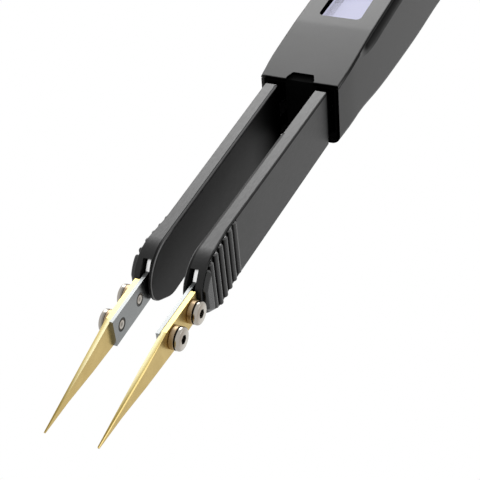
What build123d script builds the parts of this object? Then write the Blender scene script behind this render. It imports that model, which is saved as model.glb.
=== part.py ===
from build123d import *
import os
from math import atan2, cos, degrees, hypot, pi, radians, sin, tan

os.makedirs("parts", exist_ok=True)

# A hand-held component tester shaped as tweezers. Millimetres. Z is up, the display faces up, the
# tips point along -Y, and the object is alike on both sides of X = 0. The origin lies on the
# resting plane, straight below the line that joins the two arm pivots.

# --- casing ---------------------------------------------------------------------------------------
front_reach = 90.5          # pivot line to the points of the blades
rear_reach = 90.5           # pivot line to the rear end of the casing
nose_lead = 1.9             # how far the casing's mouth stands ahead of the pivot line
nose_half_width = 7.8
waist_half_width = 8.15
tail_half_width = 8.6
tail_corner = 5.0           # radius of the rear corners, seen from above
nose_swell = 8.5            # length over which the nose widens to the waist
tail_swell_start = 58.0
tail_swell_end = 78.0
nose_top_z = 16.15
ramp_top_z = 18.05
ramp_end = 16.8
ramp_turn = 1.2             # half the length over which the ramp turns into the flatter top
ramp_slope = 0.085
crest_slope = 0.045
crest_z = 19.2
crest_y = 53.0
tail_top_z = 16.6
nose_under_z = 3.3
belly_start = 52.0          # the belly rests on the table from here back
belly_rise = ((0.22, 0.62), (0.55, 0.24))   # shares of the run back and of the height left
wall = 1.4
skin = 1.2                  # thickness of the top cover
lip = 0.5                   # height of the cover's edge over the parting line
parting_gap = 0.22
parting_depth = 0.35
top_edge_radius = 0.3
belly_edge_radius = 1.8
mouth_wall = 0.6
mouth_depth = 3.2
notch_half_width = 2.1
notch_flare = 0.7
notch_depth = 2.3
fit = 0.1                   # clearance between pieces that are pushed together by hand

# --- finger scoops under the lip of the cover -----------------------------------------------------
scoop_radius = 4.6
scoop_depth = 1.15
scoop_start = 9.5
scoop_full = 17.5
scoop_fade = 52.0
scoop_end = 70.0
scoop_backing = 0.55        # extra wall inside, behind the scoop
scoop_rise = 2.0            # the extra wall begins this far behind the scoop's front end
scoop_clear = 0.02          # the scoop runs out this far outside the wall

# --- arms -----------------------------------------------------------------------------------------
arm_gap_half = 3.6          # centre plane to an arm's inner face, at the pivot line
arm_thick = 2.65
arm_low_z = 4.2
arm_high_z = 15.68
arm_reach = 59.5            # pivot line to the rounded front end of an arm
arm_flare = 0.75            # how far the outer side leans out by the front end
flare_start = 46.0
flare_middle = (52.5, 0.4)     # the outer side's lean at a place between
arm_shoulder = 1.8          # gap between the casing's mouth and the arm's full section
toe_in = 0.88               # degrees by which each arm leans to the centre plane
plate_thick = 0.6
web_thick = 0.25            # wall inside the strip, behind the inner plate
plate_reach = 18.7          # pivot line to the rear end of the right inner plate
plate_gap = 0.2             # the left inner plate ends this far ahead of its arm's shoulder
end_round_top = 6.7         # length of the rounding at the top of an arm's front end
end_round_low = 7.6
end_low_run = 3.4           # the lower rounding passes this far behind and above the foremost point
end_low_drop = 4.3
arm_edge = 0.25
plate_step = 0.08           # the inner plate lies this far inside the arm's outline

# --- grip pads ------------------------------------------------------------------------------------
grip_start = 44.0
grip_end = 58.7
grip_base = 0.5             # thickness of the pad between its ribs
grip_sink = 0.1             # how far the pad lies under the arm's outer side
grip_lip = 0.35             # width of the arm's edge around the pad
rib_first = 44.8
rib_pitch = 2.08
rib_count = 6
rib_radius = 0.65
rib_peak_first = 0.35       # how far the first rib stands outside the arm's straight side
rib_peak_last = 1.15
rib_end_round = 0.35
nose_start = 56.3           # the smooth nose of the pad, ahead of the last rib
nose_peak = 1.45
nose_round = 0.5

# --- nickel strips, blades and their screws -------------------------------------------------------
strip_thick = 0.6
strip_height = 4.9
strip_reach = 70.2
strip_low_z = 7.48
strip_shoulder_height = 9.0
strip_shoulder_start = 50.0
strip_tail_height = 2.2
strip_tail_start = 14.0
strip_tail_end = 8.0        # behind the pivot line
strip_seat = 0.55          # clear space between the inner plate and the strip
slot_side = 0.45            # clear space in the arm's end slot, outside the strip
slot_bite = 0.4             # how far the end slot reaches inside the strip
slot_recess = 2.2           # depth of the end slot
strip_recess = 1.3          # the strip's shoulder ends this far behind the arm's front end
blade_thick = 0.9
blade_back_gap = 0.1
blade_low_z = 7.4
blade_high_z = 12.3
blade_taper_start = 69.5
blade_tip_z = 8.45
blade_tip_half = 0.13
blade_thinning_start = 77.0
blade_low_bend = 84.0
blade_low_rise = 0.9        # share of the rise to the point that is left at the lower bend
bevel_lean = 35.0           # degrees between the ground bevel and the blade's outer face
screw_radius = 1.0
screw_head_radius = 1.95
screw_head_height = 0.85
screw_head_round = 0.4
socket_size = 1.4
socket_depth = 0.9
collar_height = 0.9
collar_edge = 0.12
screw_play = 0.03
front_screw_reach = 67.8
rear_screw_reach = 61.55

# --- pivots in the carrier block ------------------------------------------------------------------
pivot_pin_radius = 0.75
pivot_play = 0.04
pin_fit = 0.01
knuckle_radius = 1.5
knuckle_height = 3.0
neck_thick = 2.0
neck_web = 1.2              # the neck is solid up to this far ahead of the pins
neck_low_z = 5.5
neck_high_z = 14.6
slot_play = 0.25
tail_slot_half = 1.1
pin_bite = 0.8              # how far each stub pin goes into the carrier block
block_back = 6.5
block_front_set = 0.7       # the carrier block's face lies this far inside the mouth
leaf_thick = 0.3
leaf_height = 2.6
leaf_fixed_end = 2.6        # the leaf is fixed to the neck from the shoulder to this y

# --- display --------------------------------------------------------------------------------------
window_front = 19.9
window_length = 32.0
window_half_width = 4.4
window_corner = 1.1
window_recess = 1.2
lens_thick = 0.8
lens_margin = 1.0
panel_thick = 1.4
panel_margin = 0.1          # how far the panel's edge stands outside the lens
frame_rim = 0.55
elastomer_thick = 1.0
elastomer_margin = 0.15
elastomer_height = 3.1
guide_thick = 1.6
guide_half_width = 3.7

# --- circuit board --------------------------------------------------------------------------------
board_thick = 1.0
board_front = 15.0
board_back = 82.0
board_gap = 0.55            # clear space between the board's edge and the wall
chip_size = 7.0
chip_height = 1.2
chip_y = 29.0
lead_count = 8
lead_length = 0.9
lead_width = 0.3
capacitor_count = 4
capacitor_first = 48.6
capacitor_pitch = 1.5
capacitor_x = 3.0
capacitor_size = 1.6
finger_foot = 3.0
finger_start = 0.3          # the fingers and their feet begin this far behind their neighbours
finger_gap = 0.06
crystal_y = 46.6
crystal_length = 8.0
crystal_width = 3.2
crystal_height = 2.6
buzzer_y = 38.5
buzzer_radius = 4.5
buzzer_height = 3.0

post_x = 4.3
post_y = 21.0
post_radius = 1.3
board_step = 0.6            # width of the step round a rear boss that carries the board
ledge_y = 75.0
ledge_length = 3.0
ledge_width = 1.3

# --- keys -----------------------------------------------------------------------------------------
key_names = ("mode", "hold", "power")
key_first = 61.8
key_pitch = 7.6
key_length = 4.6
key_width = 8.2
key_proud = 0.6
key_play = 0.15
key_flange = 0.6
key_flange_height = 0.8
key_flange_gap = 0.05       # between the flange and the cover, with the key at rest
key_travel = 0.4
key_crown = 0.45
stem_radius = 1.2
switch_size = 4.5
switch_height = 1.6
plunger_radius = 0.8
plunger_proud = 1.0
plunger_length = 1.9

# --- button cells, tray and contacts --------------------------------------------------------------
cell_radius = 5.8
cell_height = 5.4
cell_gap = 0.4              # between the two cells
cell_end_wall = 1.2         # the tray's wall ahead of the front cell
bridge_half_width = 2.0
cell_rim = 0.15
cell_step = 0.3
cell_headroom = 0.3         # clear space over the cells in the casing's rear end
tray_floor = 0.8
tray_low_z = 1.6
tray_play = 0.15
tray_rim = 2.5
contact_thick = 0.25
contact_width = 3.0
contact_gap = 1.0
contact_foot = 2.2
contact_overrun = 1.0       # a contact ends this far behind its cell's centre
thumb_radius = 1.4
thumb_length = 7.0

# --- casing screws --------------------------------------------------------------------------------
case_screw_radius = 1.0
case_head_radius = 1.8
case_head_height = 1.2
case_boss_radius = 2.0
case_head_sink = 0.4
case_screw_bite = 3.5       # how far a screw reaches into the cover's boss
front_boss_y = 11.0
rear_boss_y = 56.6
rear_boss_x = 4.6
split_rise = 1.0            # a boss of the bottom shell ends this far over the board
case_screw_room = 0.3       # the cover's screw hole runs this far beyond the screw
cross_length = 2.2
cross_width = 0.4
cross_depth = 0.6

# --- derived sizes --------------------------------------------------------------------------------
nose_y = -nose_lead
tip_y = -front_reach
rear_y = rear_reach
far = 2 * (front_reach + rear_reach)
pivot_x = arm_gap_half + arm_thick / 2
arm_mid_z = (arm_low_z + arm_high_z) / 2
strip_x = arm_gap_half + plate_thick + strip_seat
blade_x = strip_x + strip_thick
collar_x = blade_x + blade_thick
head_x = collar_x + collar_height
strip_mid_z = strip_low_z + strip_height / 2


def ease(t):
    """Rises smoothly from 0 at t = 0 to 1 at t = 1."""
    t = min(max(t, 0.0), 1.0)
    return t * t * (3 - 2 * t)


def steps(start, end, count):
    """Evenly spaced values from start to end, both included."""
    return [start + (end - start) * i / (count - 1) for i in range(count)]


def half_width(y):
    """The casing's half width at y."""
    swell = (y - nose_y) / nose_swell
    nose = (waist_half_width - nose_half_width) * (1 - max(1 - swell, 0) ** 2)
    run = tail_swell_end - tail_swell_start
    tail = (tail_half_width - waist_half_width) * ease((y - tail_swell_start) / run)
    return nose_half_width + nose + tail


def under_z(y):
    """Height of the casing's underside at y."""
    if y <= nose_swell - nose_lead:
        return nose_under_z
    if y >= belly_start:
        return 0.0
    return height_at(under_curve(0), y)


def box(x0, x1, y0, y1, z0, z1):
    """A block between two corners."""
    return Pos((x0 + x1) / 2, (y0 + y1) / 2, (z0 + z1) / 2) * Box(x1 - x0, y1 - y0, z1 - z0)


def post(x, y, z0, z1, radius):
    """An upright round post."""
    return Pos(x, y, (z0 + z1) / 2) * Cylinder(radius, z1 - z0)


def rod(x0, x1, y, z, radius):
    """A round bar along X."""
    return Pos((x0 + x1) / 2, y, z) * Rot(0, 90, 0) * Cylinder(radius, x1 - x0)


def outline(inset, front=nose_y):
    """The casing seen from above, drawn in by inset, from y = front to the rear end."""
    stations = steps(nose_y, tail_swell_end, 15)
    right = [(half_width(y) - inset, y) for y in stations]
    corner = max(tail_corner - inset, 0.5)
    end_y = rear_y - inset
    tail_x = tail_half_width - inset
    side = Spline(*right, tangents=((0.05, 1), (0, 1)))
    straight = Line((tail_x, tail_swell_end), (tail_x, end_y - corner))
    turn = RadiusArc((tail_x, end_y - corner), (tail_x - corner, end_y), -corner)
    half = [side, straight, turn]
    if front < nose_y:
        half.append(Line((nose_half_width - inset, front), (nose_half_width - inset, nose_y)))
    other = [mirror(edge, Plane.YZ) for edge in half]
    back = Line((tail_x - corner, end_y), (corner - tail_x, end_y))
    mouth = Line((nose_half_width - inset, front), (inset - nose_half_width, front))
    return make_face([*half, *other, back, mouth])


def top_curve(drop):
    """The casing's top, seen from the side, lowered by drop."""
    return Spline(
        (nose_y, nose_top_z - drop),
        (ramp_end - ramp_turn, ramp_top_z - ramp_turn * ramp_slope - drop),
        (ramp_end + ramp_turn, ramp_top_z + ramp_turn * crest_slope - drop),
        (crest_y, crest_z - drop),
        (rear_y, tail_top_z - drop),
        tangents=((1, 0.12), (1, ramp_slope), (1, crest_slope), (1, 0), (1, -0.14)),
    )


def under_curve(lift):
    """The casing's underside ahead of the belly, seen from the side, raised by lift."""
    fall = belly_start - nose_swell
    between = [(nose_swell + run * fall, height * nose_under_z + lift) for run, height in belly_rise]
    front = (nose_swell - nose_lead, nose_under_z + lift)
    return Spline(front, *between, (belly_start, lift), tangents=((1, 0), (1, 0)))


def slab(drop, lift, front=nose_y):
    """All that lies between the lowered top and the raised underside, across the full width."""
    top = top_curve(drop)
    under = under_curve(lift)
    floor_front = Line((front, nose_under_z + lift), (nose_swell - nose_lead, nose_under_z + lift))
    floor_back = Line((belly_start, lift), (rear_y, lift))
    back = Line((rear_y, lift), (rear_y, tail_top_z - drop))
    lid = [] if front == nose_y else [Line((front, nose_top_z - drop), (nose_y, nose_top_z - drop))]
    mouth = Line((front, nose_under_z + lift), (front, nose_top_z - drop))
    face = make_face([top, under, floor_front, floor_back, back, mouth, *lid])
    across = Plane(origin=(0, 0, 0), x_dir=(0, 1, 0), z_dir=(1, 0, 0))
    return extrude(across * face, far / 8, both=True)


def under_top(drop):
    """All that lies below the lowered top, and ahead of and behind the casing."""
    curve = top_curve(drop)
    ahead = Line((nose_y - far / 8, nose_top_z - drop), (nose_y, nose_top_z - drop))
    behind = Line((rear_y, tail_top_z - drop), (rear_y + far / 8, tail_top_z - drop))
    down = Line((rear_y + far / 8, tail_top_z - drop), (rear_y + far / 8, -far / 8))
    across = Line((rear_y + far / 8, -far / 8), (nose_y - far / 8, -far / 8))
    up = Line((nose_y - far / 8, -far / 8), (nose_y - far / 8, nose_top_z - drop))
    side = Plane(origin=(0, 0, 0), x_dir=(0, 1, 0), z_dir=(1, 0, 0))
    return extrude(side * make_face([curve, ahead, behind, down, across, up]), far / 8, both=True)


def filled(inset, drop, lift, front=nose_y):
    """The casing as one block, drawn in by inset and by drop and lift."""
    return extrude(outline(inset, front), far / 8) & slab(drop, lift, front)


def save(name, shape):
    export_step(shape, f"parts/{name}.step")


def both_sides(shape):
    """A piece and its mirror image on the other side of the centre plane."""
    return [shape, mirror(shape, Plane.YZ)]


def height_at(curve, y):
    """Height of a side-view curve at y, found by halving along the curve."""
    low, high = 0.0, 1.0
    for _ in range(30):
        middle = (low + high) / 2
        if curve.position_at(middle).X < y:
            low = middle
        else:
            high = middle
    return curve.position_at(low).Y


def top_z(y):
    """Height of the casing's top at y."""
    return height_at(top_curve(0), y)


# --- levels and places inside the casing ----------------------------------------------------------
window_back = window_front + window_length
window_y = (window_front + window_back) / 2
lens_top = top_z(window_front) - window_recess
panel_top = lens_top - lens_thick
panel_low = panel_top - panel_thick
board_top = panel_low - elastomer_height
board_low = board_top - board_thick
lens_half_width = window_half_width + lens_margin
lens_front = window_front - lens_margin
lens_back = window_back + lens_margin
panel_half_width = lens_half_width + panel_margin
panel_front = lens_front - panel_margin
panel_back = lens_back + panel_margin
frame_half_width = panel_half_width + fit / 2 + frame_rim
frame_front = panel_front - fit / 2 - frame_rim
frame_back = panel_back + fit / 2 + frame_rim
key_places = [key_first + key_pitch * i for i in range(len(key_names))]
plunger_top = board_top + switch_height + plunger_proud
rear_cell_y = rear_y - wall - tray_play - cell_radius
front_cell_y = rear_cell_y - 2 * cell_radius - cell_gap
cell_places = (front_cell_y, rear_cell_y)
tray_front = front_cell_y - cell_radius - cell_rim - cell_end_wall
cell_low = tray_low_z + tray_floor
cell_top = cell_low + cell_height
slot_low = tray_low_z - fit
slot_high = cell_top + cell_headroom
screw_split = board_top + split_rise
screw_places = (-front_screw_reach, -rear_screw_reach)


# === casing =======================================================================================
def scoop_cutter():
    """A round bar along the side of the casing that hollows the wall under the cover's lip."""
    path = []
    for y in steps(scoop_start, scoop_end, 15):
        depth = scoop_depth * ease((y - scoop_start) / (scoop_full - scoop_start))
        depth *= 1 - ease((y - scoop_fade) / (scoop_end - scoop_fade))
        x = half_width(y) + scoop_radius + scoop_clear - depth
        path.append((x, y, top_z(y) - lip - parting_gap))
    rail = Spline(*path)
    return sweep(Plane(rail @ 0, z_dir=rail % 0) * Circle(scoop_radius), path=rail)


def belly_edges(block):
    """The long lower edges of the casing block, left, right and round the rear."""
    found = []
    for edge in block.edges():
        size = edge.bounding_box()
        on_seam = size.size.Y < 0.5 and abs(size.max.Y - rear_y) > 0.1
        if size.max.Z < nose_under_z + 0.01 and not on_seam:
            found.append(edge)
    return found


def top_edges(block):
    """The rim of the casing's top, without the seams across it."""
    found = []
    for edge in block.edges():
        size = edge.bounding_box()
        if size.min.Z > min(nose_top_z, tail_top_z) - 0.1 and size.size.Z < 5:
            found.append(edge)
    return found


# === casing: the block that both shells are cut from ==============================================
block = filled(0, 0, 0)
block = fillet(belly_edges(block), belly_edge_radius)
block = fillet(top_edges(block), top_edge_radius)
cavity = filled(wall, skin, wall, nose_y - wall)
mouth = filled(mouth_wall, mouth_wall, mouth_wall, nose_y - wall)
mouth &= box(-far, far, -far, nose_y + mouth_depth, -far, far)
below_cover = under_top(lip)
boss_places = [(0, front_boss_y), (rear_boss_x, rear_boss_y), (-rear_boss_x, rear_boss_y)]
tray_half_width = tail_half_width - wall - tray_play


def rounded(width, length, y, z0, z1, radius):
    """An upright block with rounded corners, centred on X = 0."""
    face = RectangleRounded(width, length, min(radius, width / 2.01, length / 2.01))
    return Pos(0, y, z0) * extrude(face, z1 - z0)


def notch_cutter():
    """The notch in the front edge of the top cover, wider at its mouth."""
    wide = notch_half_width + notch_flare
    back = nose_y + notch_depth
    face = make_face(Polyline(
        (-wide, nose_y - 1), (wide, nose_y - 1), (wide, nose_y + notch_flare),
        (notch_half_width, back), (-notch_half_width, back), (-wide, nose_y + notch_flare), close=True,
    ))
    face = fillet(face.vertices().filter_by(lambda v: v.Y > nose_y), notch_flare * 0.6)
    return extrude(face, far / 8)


# === top cover: carries the window, the keys and the bosses that take the screws ==================
def top_cover():
    plateau = Pos(0, 0, board_top) * extrude(outline(wall + fit / 2, nose_y - 1), far / 8)
    cover = block - cavity - mouth - (below_cover - plateau)
    surround = box(-frame_half_width, frame_half_width, frame_front, frame_back, panel_top + fit, far / 8)
    cover += surround & block - box(-far, far, -far, far, crest_z, far)
    lens_seat = box(
        -lens_half_width - fit / 2, lens_half_width + fit / 2,
        lens_front - fit / 2, lens_back + fit / 2, panel_top, lens_top,
    )
    cover -= lens_seat
    cover -= rounded(2 * window_half_width, window_length, window_y, panel_top, far / 8, window_corner)
    for y in key_places:
        hole_width = key_width + 2 * key_play
        hole_length = key_length + 2 * key_play
        cover -= rounded(hole_width, hole_length, y, board_top, far / 8, key_length / 2)
    for x, y in boss_places:
        ceiling = top_z(y) - skin / 2
        cover += post(x, y, screw_split, ceiling, case_boss_radius)
        bore_end = screw_split + case_screw_bite + case_screw_room
        cover -= post(x, y, screw_split - 1, bore_end, case_screw_radius + screw_play)
    return cover - notch_cutter()


# === bottom shell: walls, belly, board posts, screw wells and the slot for the cell tray ==========
def parting_line():
    """The narrow groove that shows between the two shells."""
    ring = extrude(outline(0, nose_y - 1), far / 8) - extrude(outline(parting_depth, nose_y - 2), far / 8)
    return (ring & below_cover) - under_top(lip + parting_gap)


def bottom_shell():
    open_mouth = filled(mouth_wall, -skin, mouth_wall, nose_y - wall)
    open_mouth &= box(-far, far, -far, nose_y + mouth_depth, -far, far)
    shell = (block & below_cover) - filled(wall, -skin, wall, nose_y - wall) - open_mouth - parting_line()
    backing = extrude(outline(wall / 2), far / 8)
    backing -= extrude(outline(wall + scoop_backing, nose_y - 1), far / 8)
    backing &= box(-far, far, scoop_start + scoop_rise, rear_boss_y - case_boss_radius, screw_split, far)
    shell += backing & block & under_top(skin + fit / 2)
    for cutter in both_sides(scoop_cutter()):
        shell -= cutter
    for x in (-post_x, post_x):
        shell += post(x, post_y, under_z(post_y) + wall / 2, board_low, post_radius)
    for x, y in boss_places:
        base = under_z(y)
        if y > board_front:
            shell += post(x, y, base + wall / 2, board_low, case_boss_radius + board_step)
        shell += post(x, y, base + wall / 2, screw_split, case_boss_radius)
        seat = base + case_head_sink + case_head_height
        shell -= post(x, y, -far / 8, seat, case_head_radius + fit)
        shell -= post(x, y, seat - 1, screw_split + 1, case_screw_radius + fit)
    side = tail_half_width - wall
    ledge_low = board_low - ledge_width
    ledge = box(side - ledge_width, side + wall / 2, ledge_y, ledge_y + ledge_length, ledge_low, board_low)
    for one in both_sides(ledge):
        shell += one
    slot_side_x = tray_half_width + tray_play - fit / 2
    return shell - box(-slot_side_x, slot_side_x, tray_front - 1, rear_y + 1, slot_low, slot_high)


save("top_cover", top_cover())
save("bottom_shell", bottom_shell())


# === carrier block: fills the mouth of the casing and holds the arms' pivot pins ==================
def carrier_block():
    front = nose_y + block_front_set
    split = nose_y + mouth_depth - fit / 2
    ahead = filled(mouth_wall + fit / 2, mouth_wall + fit / 2, mouth_wall + fit / 2)
    behind = filled(wall + fit / 2, skin + fit / 2, wall + fit / 2)
    body = ahead & box(-far, far, front, split, -far, far)
    body += behind & box(-far, far, front, block_back, -far, far)
    reach = knuckle_radius + slot_play
    slot = box(
        pivot_x - reach, pivot_x + reach, front - 1, reach,
        neck_low_z - slot_play, neck_high_z + slot_play,
    )
    tail_high = strip_mid_z + strip_tail_height / 2 + slot_play
    tail_low = strip_mid_z - strip_tail_height / 2 - slot_play
    window = box(pivot_x - tail_slot_half, pivot_x + tail_slot_half, 0, block_back + 1, tail_low, tail_high)
    pin_hole = post(pivot_x, 0, pin_low - fit, pin_high + fit, pivot_pin_radius + pin_fit)
    for cutter in (slot, window, pin_hole):
        for one in both_sides(cutter):
            body -= one
    return body


pin_low = neck_low_z - slot_play - pin_bite
pin_high = neck_high_z + slot_play + pin_bite


def pivot_pins():
    """Four stub pins: one under and one over each arm's neck."""
    low = post(pivot_x, 0, pin_low, neck_low_z + knuckle_height - fit, pivot_pin_radius)
    high = post(pivot_x, 0, neck_high_z - knuckle_height + fit, pin_high, pivot_pin_radius)
    return Compound([*both_sides(low), *both_sides(high)])


save("carrier_block", carrier_block())
save("pivot_pins", pivot_pins())


# === arms: modelled straight on the right-hand side, then leaned to the centre plane ==============
def side_view(points, x0, x1):
    """A flat plate between x0 and x1 whose side view is the given edges."""
    across = Plane(origin=(x0, 0, 0), x_dir=(0, 1, 0), z_dir=(1, 0, 0))
    return extrude(across * make_face(points), x1 - x0)


def arm_side(back, inset=0.0, reach=arm_reach):
    """The side view of an arm from y = -back to its rounded front end, drawn in by inset."""
    high = arm_high_z - inset
    low = arm_low_z + inset
    tip = (-(reach - inset), arm_mid_z)
    top_turn = (-(reach - end_round_top), high)
    low_turn = (-(reach - end_round_low), low)
    low_bend = (-(reach - inset - end_low_run), arm_mid_z - end_low_drop + inset)
    centre = (top_turn[0], arm_mid_z)
    return [
        Line((-back, high), top_turn),
        EllipticalCenterArc(centre, end_round_top - inset, high - arm_mid_z, 90, arc_size=90),
        Spline(tip, low_bend, low_turn, tangents=((0, -1), (1, 0))),
        Line(low_turn, (-back, low)),
        Line((-back, low), (-back, high)),
    ]


def arm_ends(y):
    """The heights of an arm's lower and upper edge at y."""
    ahead = max(-y - (arm_reach - end_round_top), 0) / end_round_top
    upper = arm_mid_z + (arm_high_z - arm_mid_z) * (1 - ahead ** 2) ** 0.5
    if y > end_round_low - arm_reach:
        return arm_low_z, upper
    return height_at(arm_side(shoulder)[2], y), upper


def lean(shape):
    """Leans a right-hand arm's piece about its pivot towards the centre plane."""
    return Pos(pivot_x, 0, 0) * Rot(0, 0, -toe_in) * Pos(-pivot_x, 0, 0) * shape


def outer_side(inset):
    """The arm's outer side seen from above, drawn in by inset, as far as the front end."""
    x = outer_x - inset
    y, flare = flare_middle
    bend = Spline(
        (x, -flare_start), (x + flare, -y), (x + arm_flare, -arm_reach),
        tangents=((0, -1), (arm_flare - flare, y - arm_reach)),
    )
    return [Line((x, 0), (x, -flare_start)), bend]


def inside_outer_side(inset):
    """All that lies on the inner side of the arm's outer side, drawn in by inset."""
    x = outer_x - inset
    front = -arm_reach - 1
    end = (x + arm_flare, -arm_reach)
    rest = Polyline(end, (x + arm_flare, front), (0, front), (0, 0), (x, 0))
    return Pos(0, 0, arm_low_z - 1) * extrude(make_face([*outer_side(inset), rest]), far / 8)


def save_pair(name, shape):
    """Writes the right-hand piece and its mirror image."""
    right = lean(shape)
    save("right_" + name, right)
    save("left_" + name, mirror(right, Plane.YZ))


outer_x = arm_gap_half + arm_thick
core_x = arm_gap_half + plate_thick
shoulder = nose_lead + arm_shoulder
slot_x0 = strip_x - slot_bite
slot_x1 = blade_x + slot_side
shoulder_low_z = strip_mid_z - strip_shoulder_height / 2
shoulder_high_z = strip_mid_z + strip_shoulder_height / 2
end_slot = box(
    slot_x0, slot_x1, -arm_reach - 1, -arm_reach + end_round_top,
    shoulder_low_z - fit / 2, shoulder_high_z + fit / 2,
)
end_slot -= side_view(arm_side(shoulder, slot_recess), 0, far)


def arm_shell(plate_back):
    """The moulded arm: shoulder, neck with its two knuckles, channel for the strip, seat for the pad."""
    body = side_view(arm_side(shoulder), core_x - web_thick, outer_x + 1) & inside_outer_side(0)
    outer = body.faces().filter_by(lambda f: f.normal_at().X > 0.9).edges()
    rim = outer.filter_by(lambda e: abs(e.center().Y + flare_start) > 0.01)
    body = fillet(rim, arm_edge)
    body -= box(0, core_x, -far, -plate_back, 0, far)
    pocket = side_view(arm_side(grip_start, grip_lip), core_x, far)
    body -= pocket - inside_outer_side(grip_sink + grip_base + fit / 2)
    neck = box(pivot_x - neck_thick / 2, pivot_x + neck_thick / 2, -shoulder, 0, neck_low_z, neck_high_z)
    low_knuckle = post(pivot_x, 0, neck_low_z, neck_low_z + knuckle_height, knuckle_radius)
    high_knuckle = post(pivot_x, 0, neck_high_z - knuckle_height, neck_high_z, knuckle_radius)
    body += neck + low_knuckle + high_knuckle
    middle = box(
        -far, far, -pivot_pin_radius - neck_web, far,
        neck_low_z + knuckle_height, neck_high_z - knuckle_height,
    )
    body -= middle
    body -= post(pivot_x, 0, neck_low_z - 1, neck_high_z + 1, pivot_pin_radius + pivot_play)
    depth = blade_x + screw_play
    high = strip_mid_z + strip_height / 2 + fit / 2
    low = strip_mid_z - strip_height / 2 - fit / 2
    tail = (strip_tail_height + fit) / 2
    body -= box(core_x, depth, -far, -strip_tail_start + fit, low, high)
    body -= box(core_x, depth, -strip_tail_start - 1, far, strip_mid_z - tail, strip_mid_z + tail)
    body -= box(
        core_x, depth, -far, -strip_shoulder_start + fit,
        shoulder_low_z - fit / 2, shoulder_high_z + fit / 2,
    )
    return body - end_slot


def inner_plate(plate_back):
    """The thin cover on the arm's inner side, which keeps the strip in its channel."""
    body = side_view(arm_side(plate_back, plate_step), arm_gap_half, core_x)
    rim = body.edges().filter_by(lambda e: e.center().X < arm_gap_half + 0.01)
    body = fillet(rim, arm_edge)
    return body - end_slot


def grip_pad():
    """The ribbed outer pad; its ribs stand out farther towards the tips."""
    inset = grip_lip + fit / 2
    seat = inside_outer_side(grip_sink + grip_base)
    body = inside_outer_side(grip_sink) - seat
    for i in range(rib_count):
        y = -(rib_first + rib_pitch * i)
        share = i / (rib_count - 1)
        peak = outer_x + rib_peak_first + (rib_peak_last - rib_peak_first) * share
        low, high = arm_ends(y)
        rib = post(peak - rib_radius, y, low + inset, high - inset, rib_radius)
        rib = fillet(rib.edges().filter_by(GeomType.CIRCLE), rib_end_round)
        body += rib - seat
    side = side_view(arm_side(grip_start, inset), 0, far)
    nose_x = outer_x + nose_peak
    nose = side & box(0, nose_x, -grip_end, -nose_start, arm_low_z, arm_high_z)
    nose = fillet(nose.edges().filter_by(lambda e: e.center().X > nose_x - 0.01), nose_round)
    return (body & side) + (nose - seat)


def contact_strip():
    """The nickel-plated strip, one piece from the blade to the tail behind the pivot."""
    low = strip_mid_z - strip_height / 2
    high = strip_mid_z + strip_height / 2
    tail = strip_tail_height / 2
    body = box(strip_x, blade_x, -strip_reach, -strip_tail_start, low, high)
    wide = box(strip_x, blade_x, -arm_reach, -strip_shoulder_start, shoulder_low_z, shoulder_high_z)
    body += wide & side_view(arm_side(shoulder, reach=arm_reach - strip_recess), 0, far)
    body += box(strip_x, blade_x, -strip_tail_start, strip_tail_end, strip_mid_z - tail, strip_mid_z + tail)
    for y in screw_places:
        body -= rod(strip_x - 1, blade_x + 1, y, strip_mid_z, screw_radius + screw_play)
    return body


def cut_away(shape, corner, along, inward):
    """Removes what lies outside the plane through corner that holds the directions along and inward."""
    normal = Vector(*along).cross(Vector(*inward)).normalized()
    plane = Plane(origin=corner, z_dir=(normal.X, normal.Y, normal.Z))
    return split(shape, bisect_by=plane, keep=Keep.BOTTOM)


def blade():
    """The gold-plated blade: a flat bar, ground to a point from the top and from both sides."""
    back = -(arm_reach + blade_back_gap)
    tip_x = (blade_x + collar_x) / 2
    side = [
        Polyline(
            (back, blade_low_z), (back, blade_high_z), (-blade_taper_start, blade_high_z),
            (tip_y, blade_tip_z + blade_tip_half), (tip_y, blade_tip_z - blade_tip_half),
            (-blade_low_bend, blade_low_z + blade_low_rise * (blade_tip_z - blade_low_z)),
            (-front_screw_reach, blade_low_z), close=True,
        )
    ]
    body = side_view(side, blade_x, collar_x)
    run = front_reach - blade_thinning_start
    thinning = (collar_x - blade_x) / 2 - blade_tip_half
    outer = (collar_x, -blade_thinning_start, 0)
    inner = (blade_x, -blade_thinning_start, 0)
    body = cut_away(body, outer, (-thinning, -run, 0), (0, 0, -1))
    body = cut_away(body, inner, (thinning, -run, 0), (0, 0, 1))
    crest = (collar_x, -blade_taper_start, blade_high_z)
    point = (tip_x + blade_tip_half, tip_y, blade_tip_z)
    ridge = [b - a for a, b in zip(crest, point)]
    face = (-sin(radians(bevel_lean)), 0, cos(radians(bevel_lean)))
    body = cut_away(body, crest, ridge, [-v for v in face])
    for y in screw_places:
        body -= rod(blade_x - 1, collar_x + 1, y, strip_mid_z, screw_radius + screw_play)
    return body


def collars():
    """The two gold collars under the screw heads."""
    made = []
    for y in screw_places:
        ring = rod(collar_x, head_x, y, strip_mid_z, screw_head_radius)
        ring = chamfer(ring.edges(), collar_edge)
        made.append(ring - rod(collar_x - 1, head_x + 1, y, strip_mid_z, screw_radius + screw_play))
    return Compound(made)


def tip_screws():
    """The two button head screws with a hexagon socket, which end flush with the strip."""
    made = []
    end = head_x + screw_head_height
    for y in screw_places:
        head = rod(head_x, end, y, strip_mid_z, screw_head_radius)
        head = fillet(head.edges().filter_by(lambda e: e.center().X > end - 0.01), screw_head_round)
        shank = rod(strip_x + screw_play, head_x + 0.1, y, strip_mid_z, screw_radius)
        flats = RegularPolygon(socket_size / 2, 6, major_radius=False)
        socket = Plane(origin=(end, y, strip_mid_z), z_dir=(-1, 0, 0)) * flats
        made.append(head + shank - extrude(socket, socket_depth))
    return Compound(made)


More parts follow.
